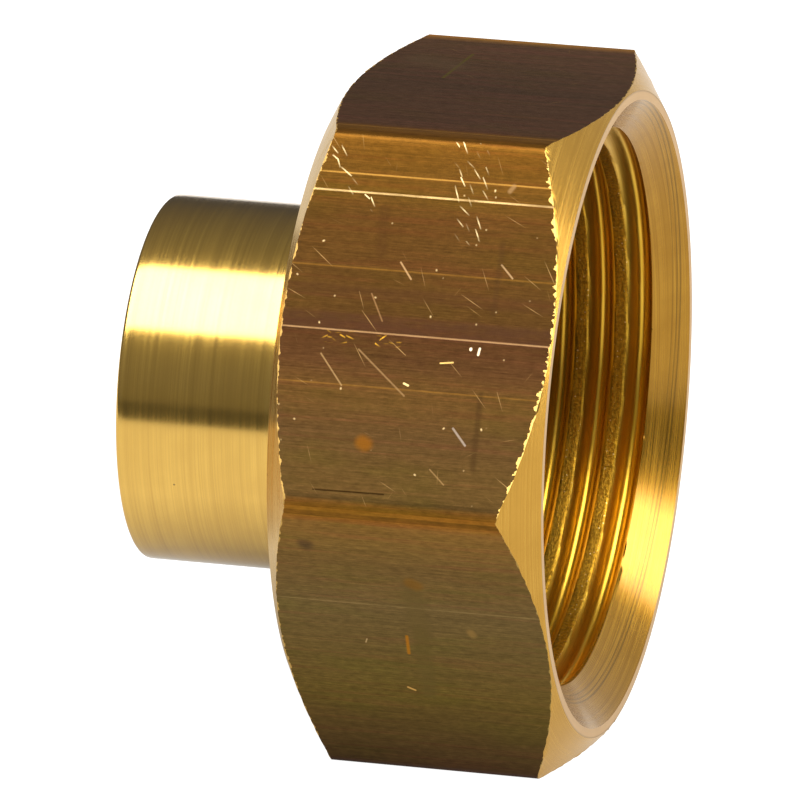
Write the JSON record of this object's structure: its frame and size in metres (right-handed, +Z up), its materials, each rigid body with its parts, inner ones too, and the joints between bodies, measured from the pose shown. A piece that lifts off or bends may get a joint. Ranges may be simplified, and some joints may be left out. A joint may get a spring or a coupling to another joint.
{
  "type": "pipe union nut and solder tail",
  "caption": "Flat-seat pipe union half: a captive hexagonal nut with internal pipe thread swivels on a plain solder tail, sealed by a flat washer.",
  "frame": {"origin": "on the ground under the middle of the whole object, which lies on one flat of the nut", "axes": "+X along the pipe towards the nut's open mouth, +Y across the nut's corners, +Z up"},
  "size_m": [0.0266, 0.0426, 0.037],
  "materials": {
    "bar_brass": "drawn hexagonal bar, tarnished brown, with bright turned chamfers",
    "turned_brass": "bright turned, fine circumferential tool marks",
    "washer_rubber": "matt moulded sheet"
  },
  "bodies": {
    "nut": {"swivel_nut": "bar_brass"},
    "washer": {"sealing_washer": "washer_rubber"},
    "tail": {"solder_tail": "turned_brass"}
  },
  "joints": [
    {"name": "tail_draw", "type": "slide", "parent": "nut", "child": "washer", "axis": [1, 0, 0], "range_m": [0, 0.013]},
    {"name": "nut_swivel", "type": "hinge", "parent": "washer", "child": "tail", "pos_m": [0, 0, 0.0185], "axis": [1, 0, 0], "continuous": true}
  ]
}
